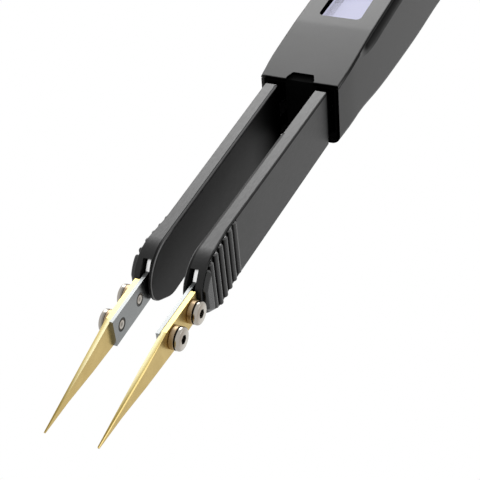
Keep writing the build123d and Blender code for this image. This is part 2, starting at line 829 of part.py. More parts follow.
def return_leaf():
    """The spring leaf on the neck that bears on the carrier block and opens the arm again."""
    fixed = pivot_x - neck_thick / 2 - leaf_thick / 2
    free = pivot_x - knuckle_radius - slot_play + fit + leaf_thick / 2
    run = [
        (fixed, fit - shoulder), (fixed, -leaf_fixed_end),
        (free, nose_y + block_front_set), (free, knuckle_radius / 2),
    ]
    near = [(x - leaf_thick / 2, y) for x, y in run]
    away = [(x + leaf_thick / 2, y) for x, y in reversed(run)]
    plan = make_face(Polyline(*near, *away, close=True))
    return Pos(0, 0, strip_mid_z - leaf_height / 2) * extrude(plan, leaf_height)


left_plate_back = shoulder + plate_gap
for side, plate_back in (("right", plate_reach), ("left", left_plate_back)):
    for name, shape in (("arm_shell", arm_shell(plate_back)), ("inner_plate", inner_plate(plate_back))):
        seated = lean(shape)
        save(f"{side}_{name}", seated if side == "right" else mirror(seated, Plane.YZ))
save_pair("grip_pad", grip_pad())
save_pair("contact_strip", contact_strip())
save_pair("blade", blade())
save_pair("collars", collars())
save_pair("tip_screws", tip_screws())
save_pair("return_leaf", return_leaf())


# === display: lens, panel, its frame, light guide and the two elastomer connectors ================
def display():
    length = lens_back - lens_front
    lens = rounded(2 * lens_half_width, length, window_y, panel_top, lens_top, window_corner)
    save("window_lens", lens)
    panel = box(-panel_half_width, panel_half_width, panel_front, panel_back, panel_low, panel_top)
    save("display_panel", panel)
    x0 = panel_half_width - elastomer_margin - elastomer_thick
    x1 = panel_half_width - elastomer_margin
    strip = box(x0, x1, panel_front + elastomer_margin, panel_back - elastomer_margin, board_top, panel_low)
    save("elastomer_strips", Compound(both_sides(strip)))
    guide_low = panel_low - guide_thick
    guide = box(-guide_half_width, guide_half_width, window_front, window_back, guide_low, panel_low)
    save("light_guide", guide)
    play = fit / 2
    frame_x = frame_half_width - play
    frame = box(-frame_x, frame_x, frame_front, frame_back, board_top, panel_top)
    frame -= box(
        -panel_half_width - play, panel_half_width + play,
        panel_front - play, panel_back + play, panel_low, far,
    )
    frame -= box(
        -guide_half_width - play, guide_half_width + play,
        window_front - play, window_back + play, guide_low, far,
    )
    channel = box(
        x0 - play, x1 + play, panel_front + elastomer_margin - play,
        panel_back - elastomer_margin + play, board_top - 1, far,
    )
    for one in both_sides(channel):
        frame -= one
    save("display_frame", frame)


display()


# === circuit board and what is soldered to it =====================================================
def circuit_board():
    plan = extrude(outline(wall + board_gap), board_thick)
    board = Pos(0, 0, board_low) * plan & box(-far, far, board_front, board_back, -far, far)
    for x, y in boss_places:
        if y > board_front:
            board -= post(x, y, board_low - 1, board_top + 1, case_boss_radius + fit)
    return board


def chip_leads():
    """Gull-wing leads on the four sides of the main chip."""
    pitch = chip_size / (lead_count + 1)
    made = []
    for i in range(lead_count):
        side = pitch * (i + 1) - chip_size / 2
        lead = box(
            chip_size / 2, chip_size / 2 + lead_length, side - lead_width / 2, side + lead_width / 2,
            board_low - lead_width, board_low,
        )
        for quarter in range(4):
            made.append(Pos(0, chip_y, 0) * Rot(0, 0, 90 * quarter) * lead)
    return Compound(made)


def capacitors():
    """Chip capacitors in two rows on the underside of the board."""
    made = []
    for i in range(capacitor_count):
        y = capacitor_first + capacitor_pitch * i
        one = box(
            capacitor_x, capacitor_x + capacitor_size, y, y + capacitor_size / 2,
            board_low - capacitor_size / 2, board_low,
        )
        made += both_sides(one)
    return Compound(made)


def arm_contacts():
    """Two bronze fingers that bear on the tails of the strips."""
    tail_x = strip_x + sin(radians(toe_in)) * strip_tail_end
    outer = tail_x - finger_gap
    foot_end = board_front + finger_foot
    finger = box(
        outer - contact_thick, outer, block_back + finger_start, foot_end,
        strip_mid_z - strip_tail_height / 2, board_low,
    )
    foot = box(
        outer - contact_thick, outer + finger_foot / 2, board_front + finger_start, foot_end,
        board_low - contact_thick, board_low,
    )
    return Compound(both_sides(finger + foot))


save("circuit_board", circuit_board())
save("main_chip", Pos(0, chip_y, board_low - chip_height / 2) * Box(chip_size, chip_size, chip_height))
save("chip_leads", chip_leads())
save("capacitors", capacitors())
save("arm_contacts", arm_contacts())
crystal = Pos(0, crystal_y, board_low) * extrude(SlotOverall(crystal_length, crystal_width), -crystal_height)
save("crystal", crystal)
buzzer = post(0, buzzer_y, board_low - buzzer_height, board_low, buzzer_radius)
buzzer -= post(0, buzzer_y, board_low - buzzer_height - 1, board_low - buzzer_height + 1, buzzer_radius / 5)
save("buzzer", buzzer)


# === keys: cap, plunger and switch base ===========================================================
def key_cap(y):
    """A cap with a flange under the cover and a stem that stands on the switch's plunger."""
    ceiling = top_z(y + key_length / 2 + key_flange) - skin - key_flange_gap
    flange_low = ceiling - key_flange_height
    top = top_z(y) + key_proud
    cap = rounded(key_width, key_length, y, flange_low, top, key_length / 2 - key_play)
    rim = cap.edges().filter_by(lambda e: e.center().Z > top - 0.01)
    cap = fillet(rim, key_crown)
    flange_width = key_width + 2 * key_flange
    flange_length = key_length + 2 * key_flange
    cap += rounded(flange_width, flange_length, y, flange_low, ceiling, key_length / 2)
    return cap + post(0, y, plunger_top, flange_low + 0.1, stem_radius)


switch_bases = []
for name, y in zip(key_names, key_places):
    save(name + "_button", key_cap(y))
    plunger = post(0, y, plunger_top - plunger_length, plunger_top, plunger_radius)
    save(name + "_plunger", plunger)
    half = switch_size / 2
    base = box(-half, half, y - half, y + half, board_top, board_top + switch_height)
    well_low = plunger_top - plunger_length - key_travel - fit
    base -= post(0, y, well_low, far, plunger_radius + pivot_play)
    switch_bases.append(base)
save("switch_bases", Compound(switch_bases))


# === cell, its sliding tray and the contacts ======================================================
def button_cells():
    """Two button cells side by side: the front one with its can up, the rear one with its can down."""
    made = []
    for y, up in zip(cell_places, (True, False)):
        step = cell_step if up else -cell_step
        can = post(0, y, cell_low + max(step, 0), cell_top + min(step, 0), cell_radius)
        can = fillet(can.edges(), cell_step)
        made.append(can + post(0, y, cell_low, cell_top, cell_radius - 3 * cell_step))
    return Compound(made)


def cell_bridge():
    """The strip in the tray's floor that joins the undersides of the two cells."""
    low = cell_low - contact_thick
    return box(-bridge_half_width, bridge_half_width, front_cell_y, rear_cell_y, low, cell_low)


def cell_tray():
    """A drawer whose front is a slice of the casing's rounded end."""
    inside = extrude(outline(wall + tray_play), far / 8)
    body = inside & box(-far, far, tray_front, far, tray_low_z, tray_low_z + tray_rim)
    face = block - extrude(outline(wall + 3 * tray_play), far / 8)
    front = rear_y - tail_corner
    body += face & box(-tray_half_width, tray_half_width, front, far, tray_low_z, slot_high - fit)
    for y in cell_places:
        body -= post(0, y, cell_low, far, cell_radius + cell_rim)
    play = fit / 2
    body -= box(
        -bridge_half_width - play, bridge_half_width + play,
        front_cell_y - play, rear_cell_y + play, cell_low - contact_thick, far,
    )
    middle = (tray_low_z + slot_high) / 2
    return body - rod(-thumb_length / 2, thumb_length / 2, rear_y + thumb_radius / 2, middle, thumb_radius)


def cell_contact(x0, y, cell_y):
    """A bronze strip that hangs from the board and reaches back to its cell."""
    x1 = x0 + contact_width
    low = cell_top + fit
    foot = box(x0, x1, y, y + contact_foot, board_low - contact_thick, board_low)
    drop = box(x0, x1, y, y + contact_thick, low, board_low)
    arm = box(x0, x1, y, cell_y + contact_overrun, low, low + contact_thick)
    return foot + drop + arm


def cell_contacts():
    """One sprung strip over each cell; the two lie side by side."""
    front = cell_contact(contact_gap / 2, tray_front, front_cell_y)
    rear = cell_contact(-contact_gap / 2 - contact_width, front_cell_y, rear_cell_y)
    return Compound([front, rear])


save("button_cells", button_cells())
save("cell_bridge", cell_bridge())
save("cell_tray", cell_tray())
save("cell_contacts", cell_contacts())


# === casing screws ================================================================================
def casing_screws():
    made = []
    for x, y in boss_places:
        low = under_z(y) + case_head_sink
        high = low + case_head_height
        head = post(x, y, low, high, case_head_radius)
        shank = post(x, y, high - 0.1, screw_split + case_screw_bite, case_screw_radius)
        slot = Pos(x, y, low) * Box(cross_length, cross_width, 2 * cross_depth)
        cross = slot + Pos(x, y, low) * Box(cross_width, cross_length, 2 * cross_depth)
        made.append(head + shank - cross)
    return Compound(made)


save("casing_screws", casing_screws())
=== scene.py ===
import bmesh
import bpy
from mathutils import Matrix, Vector

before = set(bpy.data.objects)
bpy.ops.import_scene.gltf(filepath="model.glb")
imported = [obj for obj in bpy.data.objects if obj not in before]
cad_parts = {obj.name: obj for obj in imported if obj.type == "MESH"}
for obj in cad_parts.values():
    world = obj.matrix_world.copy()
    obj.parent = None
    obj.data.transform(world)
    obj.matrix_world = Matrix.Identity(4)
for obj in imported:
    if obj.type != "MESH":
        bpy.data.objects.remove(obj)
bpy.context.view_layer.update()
mm = 0.001


# --- Room --------------------------------------------------------------------------------------
# A pale bench top under the tester and a white room around it. Both look white to the camera and
# in reflections, while two soft lamps light the tester itself at a plain level.
def grey(level):
    """A neutral colour."""
    return (level, level, level)


class Signal:
    """A socket's value in a node tree, so that masks can be written as sums."""

    def __init__(self, maker, socket):
        self.maker = maker
        self.socket = socket

    def _math(self, operation, first, second=0.0):
        return self.maker.value("ShaderNodeMath", {"operation": operation}, {0: first, 1: second})

    def __add__(self, other):
        return self._math("ADD", self, other)

    def __radd__(self, other):
        return self._math("ADD", other, self)

    def __sub__(self, other):
        return self._math("SUBTRACT", self, other)

    def __rsub__(self, other):
        return self._math("SUBTRACT", other, self)

    def __mul__(self, other):
        return self._math("MULTIPLY", self, other)

    def __rmul__(self, other):
        return self._math("MULTIPLY", other, self)

    def __truediv__(self, other):
        return self._math("DIVIDE", self, other)

    def __abs__(self):
        return self._math("ABSOLUTE", self)

    def root(self):
        return self._math("SQRT", self)

    def least(self, other):
        return self._math("MINIMUM", self, other)

    def most(self, other):
        return self._math("MAXIMUM", self, other)

    def above(self, other):
        return self._math("GREATER_THAN", self, other)

    def below(self, other):
        return self._math("LESS_THAN", self, other)

    def wave(self, height):
        """Climbs from 0 to height and falls back, over and over."""
        return self._math("PINGPONG", self, height)

    def rise(self, low, high):
        """Runs smoothly from 0 at low to 1 at high and stays within them."""
        settings = {"clamp": True, "interpolation_type": "SMOOTHSTEP"}
        return self.maker.value("ShaderNodeMapRange", settings, {0: self, 1: low, 2: high, 3: 0.0, 4: 1.0})

    def fall(self, low, high):
        """Runs smoothly from 1 at low to 0 at high and stays within them."""
        return 1 - self.rise(low, high)

    def band(self, rise, fall):
        """Runs from 0 to 1 over one pair of values and back to 0 over the next."""
        return self.rise(*rise) * self.fall(*fall)


class Nodes:
    """A tree of shader nodes."""

    def __init__(self, tree):
        self.tree = tree

    def node(self, kind, settings, inputs):
        """Adds a node. Its settings come first, because some of them change its sockets."""
        made = self.tree.nodes.new(kind)
        for name, setting in settings.items():
            setattr(made, name, setting)
        for socket, wanted in inputs.items():
            self.feed(made.inputs[socket], wanted)
        return made

    def feed(self, socket, wanted):
        """Links a signal to a socket, or sets the socket to a number, a vector or a colour."""
        if isinstance(wanted, Signal):
            self.tree.links.new(wanted.socket, socket)
        elif socket.type == "RGBA":
            socket.default_value = (*wanted, 1.0)
        else:
            socket.default_value = wanted

    def value(self, kind, settings, inputs, output=0):
        """Adds a node and gives the signal that leaves it."""
        return Signal(self, self.node(kind, settings, inputs).outputs[output])

    def parts(self, vector):
        """The x, y and z of a vector, as three signals."""
        made = self.node("ShaderNodeSeparateXYZ", {}, {0: vector})
        return [Signal(self, made.outputs[axis]) for axis in "XYZ"]

    def seen(self):
        """1 for the camera's rays and for what gloss and glass show, 0 for light that falls on things."""
        path = self.node("ShaderNodeLightPath", {}, {})
        rays = ("Is Camera Ray", "Is Glossy Ray", "Is Transmission Ray")
        camera, gloss, glass = [Signal(self, path.outputs[ray]) for ray in rays]
        return camera.most(gloss).most(glass)


class Finish(Nodes):
    """A material with one main shader, whose inputs are set to numbers, colours or signals."""

    def __init__(self, name):
        self.material = bpy.data.materials.new(name)
        self.material.use_nodes = True
        super().__init__(self.material.node_tree)
        self.shader = self.tree.nodes["Principled BSDF"]
        self.place = self.value("ShaderNodeTexCoord", {}, {}, "Object")

    def axes(self):
        """The place on the piece, in metres from the middle of the hinge line at table height."""
        return self.parts(self.place)

    def facing(self):
        """The three parts of the direction in which the surface faces."""
        return self.parts(self.value("ShaderNodeTexCoord", {}, {}, "Normal"))

    def noise(self, size, detail=2.0, stretch=(1, 1, 1)):
        """Noise whose blobs are about size metres across, drawn out along the axes by stretch."""
        scale = tuple(1 / (size * share) for share in stretch)
        inputs = {"Vector": self.place, "Scale": scale}
        place = self.value("ShaderNodeMapping", {"vector_type": "POINT"}, inputs)
        return self.value("ShaderNodeTexNoise", {}, {"Vector": place, "Scale": 1.0, "Detail": detail}, "Fac")

    def mix(self, share, first, second):
        return self.value("ShaderNodeMix", {"data_type": "RGBA"}, {0: share, 6: first, 7: second}, 2)

    def set(self, **inputs):
        for name, wanted in inputs.items():
            self.feed(self.shader.inputs[name.replace("_", " ")], wanted)

    def so_far(self, name):
        """The signal that one of the shader's inputs has at present."""
        return Signal(self, self.shader.inputs[name].links[0].from_socket)

    def lay(self, mask, colour):
        """Lays a colour over the one that the surface has so far, where the mask is 1."""
        self.set(Base_Color=self.mix(mask, self.so_far("Base Color"), colour))

    def bump(self, height, depth):
        """Lays relief of the given depth in metres on the surface."""
        inputs = {"Height": height, "Distance": depth, "Strength": 1.0}
        self.set(Normal=self.value("ShaderNodeBump", {}, inputs))

    def replace(self, mask, shader):
        """Shows another shader where the mask is 1."""
        inputs = {0: mask, 1: Signal(self, self.shader.outputs[0]), 2: shader}
        self.feed(self.tree.nodes["Material Output"].inputs[0], self.value("ShaderNodeMixShader", {}, inputs))

    def paint_shade(self, mask):
        """Paints shade: turns the surface matt black where the mask is 1, as in a slot that no light reaches.
        """
        inputs = {"Base Color": grey(0.0015), "Roughness": 1.0, "Specular IOR Level": 0.0}
        self.replace(mask, self.value("ShaderNodeBsdfPrincipled", {}, inputs))


def dress(finish, *nodes):
    """Gives CAD nodes a finish."""
    for node in nodes:
        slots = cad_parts[node].data.materials
        slots.clear()
        slots.append(finish.material)


white = grey(1.0)
ambient_level = 0.18
backdrop_level = 1.0
world = bpy.data.worlds.new("room")
world.use_nodes = True
bpy.context.scene.world = world
room = Nodes(world.node_tree)
backdrop = world.node_tree.nodes["Background"]
room.feed(backdrop.inputs["Color"], white)
room.feed(backdrop.inputs["Strength"], room.seen() * (backdrop_level - ambient_level) + ambient_level)

middle = (0, 0, 10 * mm)


def lamp(name, place, size, power):
    """A square soft lamp that points at the middle of the tester."""
    light = bpy.data.lights.new(name, "AREA")
    light.shape = "SQUARE"
    light.size = size
    light.energy = power
    holder = bpy.data.objects.new(name, light)
    holder.location = place
    holder.rotation_euler = (Vector(middle) - Vector(place)).to_track_quat("-Z", "Y").to_euler()
    bpy.context.scene.collection.objects.link(holder)


lamp("rear_overhead_lamp", (-0.25, 0.52, 0.37), size=0.40, power=3.6)
lamp("right_lamp", (0.62, 0.28, 0.16), size=0.30, power=0.22)

floor_size = 4.0
floor_mesh = bmesh.new()
bmesh.ops.create_grid(floor_mesh, x_segments=1, y_segments=1, size=floor_size / 2)
floor_data = bpy.data.meshes.new("bench_floor")
floor_mesh.to_mesh(floor_data)
floor_mesh.free()
floor = bpy.data.objects.new("bench_floor", floor_data)
bpy.context.scene.collection.objects.link(floor)

floor_finish = Finish("bench_floor")
floor_finish.set(Base_Color=grey(0.8), Roughness=0.9)
floor_glow = floor_finish.value("ShaderNodeEmission", {}, {"Color": white, "Strength": backdrop_level})
floor_finish.replace(floor_finish.seen(), floor_glow)
floor_data.materials.append(floor_finish.material)


# --- Casing shells -----------------------------------------------------------------------------
# Two halves injection moulded in black ABS. The tool was spark eroded, which leaves a fine, even
# grain with a satin sheen. The cover fits over the lower shell and leaves a narrow joint. Shade is
# painted into that joint, the finger scoops, the mouth and the walls of the openings.
shell_roughness = 0.36
shell_dark = grey(0.024)
shell_light = (0.034, 0.034, 0.033)

mouth_y = -1.9 * mm
mouth_top = 16.15 * mm
front_slope = 0.103
crease_y = 16.8 * mm                # the steeper front of the cover's top ends here
crease_top = 18.05 * mm
crease_blur = 0.9 * mm
back_slope = 0.040
tail_start = 53 * mm                # the cover's top falls again from here back
tail_top = 19.2 * mm
tail_length = 37.5 * mm
tail_drop = 2.6 * mm

waist_half_width = 8.15 * mm
swell = 0.45 * mm                   # how much further out each side lies at the rear
swell_run = (58 * mm, 78 * mm)

joint_depth = (0.30 * mm, 0.62 * mm)
joint_start = (-2 * mm, 5 * mm)
scoop_depth = (0.04 * mm, 0.45 * mm)
scoop_foot = (1.7 * mm, 5.2 * mm)
scoop_start = (10.5 * mm, 15 * mm)
scoop_end = 84 * mm
rim_end = (-7.6 * mm, -6.6 * mm)    # the painted shade on the mouth's rim is lighter beyond here
cavity_floor = 4.0 * mm
openings_front = 14 * mm
openings_back = 88 * mm
openings_half_width = 6.4 * mm


def satin_plastic(
    name, dark, light, roughness, grain=0.16 * mm, relief=0.010 * mm, shine=0.25, stretch=(1, 1, 1)
):
    """Black moulded plastic with a spark-eroded grain and faint, wide colour changes."""
    plastic = Finish(name)
    fine = plastic.noise(grain, detail=3.0, stretch=stretch)
    cloudy = plastic.noise(9 * mm)
    plastic.set(
        Base_Color=plastic.mix(cloudy.rise(0.3, 0.7), dark, light),
        Roughness=roughness + 0.10 * fine + 0.05 * cloudy,
        Specular_IOR_Level=shine,
    )
    plastic.bump(fine, relief)
    return plastic


def below_the_top(y, z):
    """How far a place lies under the top of the cover, in metres."""
    front = (y - mouth_y) * front_slope + mouth_top
    back = (y - crease_y) * back_slope + crease_top
    past = (y - tail_start).most(0.0)
    tail = tail_top - past * past * (tail_drop / tail_length ** 2)
    return front.least(back).least(tail) - z


def casing_painted_shade(plastic):
    """Painted shade in the joint under the cover's edge, the finger scoops, the mouth and the walls of the
    openings.
    """
    x, y, z = plastic.axes()
    face_x, face_y, face_z = plastic.facing()
    down = below_the_top(y, z)
    side = abs(face_x).rise(0.45, 0.75)
    joint = side * down.fall(*joint_depth) * y.rise(*joint_start)
    inward = (y.rise(*swell_run) * swell + waist_half_width - abs(x)).rise(*scoop_depth)
    scoops = side * inward * y.below(scoop_end) * y.rise(*scoop_start) * down.fall(*scoop_foot)
    rim = face_y.fall(-0.8, -0.5) * y.below(0.5 * mm) * (0.2 + 0.8 * x.rise(*rim_end))
    deep = z.above(cavity_floor)
    mouth = abs(x).below(7.2 * mm) * down.above(0.5 * mm) * deep * y.below(5 * mm)
    notch = abs(x).below(3 * mm) * down.above(0.1 * mm) * deep * y.below(0.7 * mm)
    upright = abs(face_z).fall(0.5, 0.8)
    walls = abs(x).below(openings_half_width) * y.above(openings_front) * y.below(openings_back) * upright
    return (joint * 0.75).most(scoops * 0.92).most(rim).most(mouth).most(notch).most(walls)


def duller_front(plastic):
    """How much rougher the cover's top is ahead of the crease than behind it."""
    y = plastic.axes()[1]
    face_z = plastic.facing()[2]
    return y.fall(crease_y - crease_blur, crease_y + crease_blur) * face_z.rise(0.8, 0.9) * 0.05


shell_finish = satin_plastic("casing_plastic", shell_dark, shell_light, shell_roughness)
shell_finish.set(Roughness=shell_finish.so_far("Roughness") + duller_front(shell_finish))
# Paints shade into the joint, the finger scoops, the mouth and the walls of the openings.
shell_finish.paint_shade(casing_painted_shade(shell_finish))
dress(shell_finish, "top_cover", "bottom_shell")
dress(satin_plastic("tray_plastic", shell_dark, shell_light, shell_roughness), "cell_tray")
# The carrier block is darker and duller than the casing: painted shade, as it lies deep in the mouth.
dress(satin_plastic("carrier_plastic_painted_shade", grey(0.003), grey(0.005), roughness=0.8, shine=0.05), "carrier_block")


# --- Pivot pins, return leaves and casing screws -----------------------------------------------
# Small turned and stamped steel parts. Their near-black colour is painted shade for the pins and leaves,
# which lie deep in the casing's mouth, and the casing screws share it. A leaf opens each arm again after a
# squeeze, and the screws hold the two shells together from below.
def turned_metal(name, dark, light, roughness, scratch, stretch=(1, 1, 1), relief=0.002 * mm):
    """Bare or plated metal with fine tool marks."""
    metal = Finish(name)
    marks = metal.noise(scratch, detail=4.0, stretch=stretch)
    stains = metal.noise(2.5 * mm, detail=3.0)
    metal.set(
        Base_Color=metal.mix(stains.rise(0.35, 0.75), dark, light),
        Metallic=1.0,
        Roughness=roughness + 0.14 * marks,
    )
    metal.bump(marks, relief)
    return metal


# Painted shade: the pins and leaves are coloured near black for the shade in the casing's mouth.
steel_dark = (0.03, 0.03, 0.032)
steel_light = (0.05, 0.05, 0.052)
steel_in_shade_finish = turned_metal("steel_in_painted_shade", steel_dark, steel_light, roughness=0.35, scratch=0.1 * mm)
dress(steel_in_shade_finish, "casing_screws", "pivot_pins", "left_return_leaf", "right_return_leaf")


# --- Display: lens, panel, frame, light guide and elastomer strips -----------------------------
# A clear acrylic lens over a liquid crystal panel in a plain, pale lavender, with a light guide behind it.
# The panel's faint glow is painted light, which lifts the shade that its recess casts on it. A black
# frame locates it, and striped rubber strips join it to the board.
lens = Finish("clear_lens")
smears = lens.noise(4 * mm)
lens.set(Base_Color=(0.95, 0.95, 1.0), Roughness=0.30 + 0.10 * smears, Alpha=0.06, Specular_IOR_Level=0.15)
dress(lens, "window_lens")

panel_colour = (0.33, 0.33, 0.41)
panel_cloud = tuple(0.97 * level for level in panel_colour)
panel_line = (0.28, 0.28, 0.36)
dot_pitch = 0.42 * mm
dot_gap = 0.06 * dot_pitch

panel = Finish("display_panel")
x, y = panel.axes()[:2]
dots = x.wave(dot_pitch / 2).above(dot_gap) * y.wave(dot_pitch / 2).above(dot_gap)
tint = panel.mix(panel.noise(12 * mm).rise(0.3, 0.7), panel_colour, panel_cloud)
screen = panel.mix(dots * 0.5 + 0.5, panel_line, tint)
# Painted light: the panel glows faintly, which lifts the shade that its recess casts on it.
panel.set(
    Base_Color=screen,
    Emission_Color=screen,
    Emission_Strength=1.4,
    Roughness=0.6,
    Specular_IOR_Level=0.1,
)
dress(panel, "display_panel")

dress(satin_plastic("frame_plastic", grey(0.02), grey(0.03), roughness=0.4), "display_frame")

guide = Finish("light_guide")
guide.set(Base_Color=guide.mix(guide.noise(3 * mm), (0.78, 0.8, 0.84), (0.86, 0.88, 0.9)), Roughness=0.12)
dress(guide, "light_guide")

stripe_width = 0.09 * mm
elastomer = Finish("striped_elastomer")
stripes = elastomer.axes()[1].wave(stripe_width).above(stripe_width / 2)
elastomer.set(Base_Color=elastomer.mix(stripes, (0.25, 0.25, 0.27), grey(0.02)), Roughness=0.7)
dress(elastomer, "elastomer_strips")


# --- Circuit board and its components ----------------------------------------------------------
# A green epoxy-glass board with tinned pads and slanting tracks. The chip and the capacitors are
# soldered to its underside, and bronze springs lead from it to the strips and the cells.
track_half_pitch = 0.5 * mm
track_gap = 0.36 * mm
via_pitch = 2.4 * mm

board = Finish("board_laminate")
x, y = board.axes()[:2]
tracks = (x + 0.35 * y).wave(track_half_pitch).above(track_gap)
speckle = board.value("ShaderNodeTexVoronoi", {}, {"Vector": board.place, "Scale": 1 / via_pitch}, "Distance")
vias = speckle.below(0.12)
laminate = board.mix(tracks, (0.012, 0.10, 0.035), (0.02, 0.17, 0.06))
board.set(
    Base_Color=board.mix(vias, laminate, (0.62, 0.6, 0.55)),
    Metallic=vias * 0.8,
    Roughness=0.3 + 0.1 * tracks,
)
board.bump(tracks + vias, 0.02 * mm)
dress(board, "circuit_board")


def speckled(name, dark, light, roughness, size):
    """A plain moulded or sintered body with fine speckles."""
    body = Finish(name)
    specks = body.noise(size, detail=3.0)
    body.set(Base_Color=body.mix(specks.rise(0.35, 0.7), dark, light), Roughness=roughness + 0.1 * specks)
    body.bump(specks, 0.008 * mm)
    return body


resin = speckled("chip_resin", grey(0.014), grey(0.024), roughness=0.5, size=0.2 * mm)
dress(resin, "main_chip", "buzzer", "switch_bases")
ceramic_dark = (0.42, 0.30, 0.18)
ceramic_light = (0.55, 0.40, 0.25)
dress(speckled("capacitor_ceramic", ceramic_dark, ceramic_light, roughness=0.4, size=0.3 * mm), "capacitors")
tin_dark = (0.55, 0.55, 0.54)
tin_light = (0.70, 0.70, 0.69)
dress(turned_metal("tinned_copper", tin_dark, tin_light, 0.25, scratch=0.15 * mm), "chip_leads", "crystal")
bronze_dark = (0.55, 0.34, 0.16)
bronze_light = (0.68, 0.44, 0.22)
bronze = turned_metal("contact_bronze", bronze_dark, bronze_light, 0.25, 0.1 * mm, stretch=(1, 12, 1))
dress(bronze, "arm_contacts", "cell_contacts", "cell_bridge")


# --- Keys --------------------------------------------------------------------------------------
# Three caps moulded in dark grey plastic. Each is held by a flange under the cover and stands on
# the ivory plunger of its switch.
keys = ("mode", "hold", "power")
key_dark = (0.16, 0.17, 0.18)
key_light = (0.20, 0.21, 0.22)
key_finish = satin_plastic("key_plastic", key_dark, key_light, 0.42, grain=0.1 * mm, relief=0.006 * mm)
dress(key_finish, *[key + "_button" for key in keys])
ivory_dark = (0.50, 0.48, 0.42)
ivory_light = (0.60, 0.58, 0.52)
ivory_finish = speckled("plunger_plastic", ivory_dark, ivory_light, roughness=0.35, size=0.4 * mm)
dress(ivory_finish, *[key + "_plunger" for key in keys])


# --- Button cells ------------------------------------------------------------------------------
# Two alkaline button cells with nickel-plated cans, dulled by the barrel they were polished in.
# They lie flat in the tray, one behind the other, and a bronze bridge under them joins them.
nickel_dark = grey(0.55)
nickel_light = (0.68, 0.68, 0.67)
nickel = turned_metal("cell_nickel", nickel_dark, nickel_light, roughness=0.2, scratch=0.06 * mm)
dress(nickel, "button_cells")


# --- Arms and grip pads ------------------------------------------------------------------------
# The arms and their inner plates are glass-filled nylon, a little coarser in grain than the casing.
# The ribbed grip pads are a soft black rubber, let into the arms' outer sides.
along_arm = (1, 5, 1)               # the grain is drawn out along the arm
arm_top = 15.68 * mm
arm_side = 5 * mm                   # all of an arm's outer side lies further out than this
line_top = (0.12 * mm, 0.2 * mm)    # painted shade in a line under the arm's top edge
line_foot = (0.45 * mm, 0.6 * mm)
neck_shade = (-3.85 * mm, -3.3 * mm)
neck_side_shade = (-5.0 * mm, -2.2 * mm)
plate_glint_end = (-56 * mm, -48 * mm)
plate_shade = (-20 * mm, -5 * mm)
ribs_end = -56.6 * mm               # a pad's ribs end here, and its smooth nose begins


def both(piece):
    return ["left_" + piece, "right_" + piece]


arm_finish = satin_plastic(
    "arm_plastic", grey(0.020), grey(0.034), roughness=0.34,
    grain=0.26 * mm, relief=0.030 * mm, shine=0.29, stretch=along_arm,
)
x, y, z = arm_finish.axes()
face_x = arm_finish.facing()[0]
shade_under_top_edge = (arm_top - z).band(line_top, line_foot) * abs(face_x).rise(0.5, 0.8) * abs(x).above(arm_side)
outward = (face_x * x / arm_side).rise(0.5, 0.8)
neck = y.rise(*neck_shade) * (1 - outward)
neck_side = y.rise(*neck_side_shade) * outward
# Paints shade on the neck inside the mouth and in a line under the arm's top edge.
arm_finish.paint_shade(neck.most(neck_side).most(shade_under_top_edge * 0.7))
dress(arm_finish, *both("arm_shell"))

plate_black = grey(0.023)
plate_finish = satin_plastic(
    "plate_plastic", plate_black, plate_black, roughness=0.42,
    grain=0.22 * mm, relief=0.012 * mm, shine=0.12, stretch=along_arm,
)
y = plate_finish.axes()[1]
flat = abs(plate_finish.facing()[0])
# Painted highlight: the plate's rounded rim is lightened and made partly metallic towards the front.
glint = flat.band((0.15, 0.35), (0.8, 0.95)) * y.fall(*plate_glint_end)
plate_finish.lay(glint, grey(0.24))
plate_finish.set(Metallic=glint * 0.5)
# Painted shade: the plate's inner face goes black towards the mouth.
plate_finish.paint_shade(y.rise(*plate_shade) * flat.rise(0.4, 0.8))
dress(plate_finish, *both("inner_plate"))

nose_black = grey(0.011)
grip_finish = satin_plastic(
    "grip_rubber", nose_black, nose_black, roughness=0.20, grain=0.14 * mm, relief=0.005 * mm, shine=0.55,
)
ribbed = grip_finish.axes()[1].above(ribs_end)
face_y, face_z = grip_finish.facing()[1:]
rear_edge_highlights = face_y.band((0.25, 0.45), (0.6, 0.8))
top_end_highlights = face_z.band((0.35, 0.55), (0.85, 0.95))
# Painted shade keeps the smooth nose darker than the ribbed part.
grip_finish.lay(ribbed, grey(0.018))
# Painted highlights on the ribs' rear edges and top ends.
grip_finish.lay(rear_edge_highlights.most(top_end_highlights) * ribbed, grey(0.20))
# Painted shade on the flanks of the grooves between the ribs.
grip_finish.paint_shade(abs(face_y).rise(0.6, 0.97) * ribbed * 0.85)
dress(grip_finish, *both("grip_pad"))


# --- Contact strips ----------------------------------------------------------------------------
# Strips stamped from nickel-plated sheet and brushed along their length. Each runs through its arm
# from the blade to a tail behind the hinge. The shade in the hole around each tip screw is painted as
# a dark ring, and a highlight is painted on the front edges of each strip's shoulder.
strip_dark = (0.20, 0.21, 0.21)
strip_light = (0.26, 0.27, 0.27)
shoulder_front = -60 * mm           # a highlight is painted on the front edges of the strip's shoulder
shoulder_back = -50 * mm
rear_screw_y = -61.61 * mm
front_screw_y = -67.80 * mm
screw_z = 9.93 * mm
hole_inside = (0.95 * mm, 1.02 * mm)
hole_outside = (1.12 * mm, 1.2 * mm)


def around_screws(finish):
    """How far a place lies from the axis of the nearer tip screw, in metres."""
    y, z = finish.axes()[1:]
    up = z - screw_z
    squares = [(y - screw_y) * (y - screw_y) + up * up for screw_y in (rear_screw_y, front_screw_y)]
    return squares[0].least(squares[1]).root()


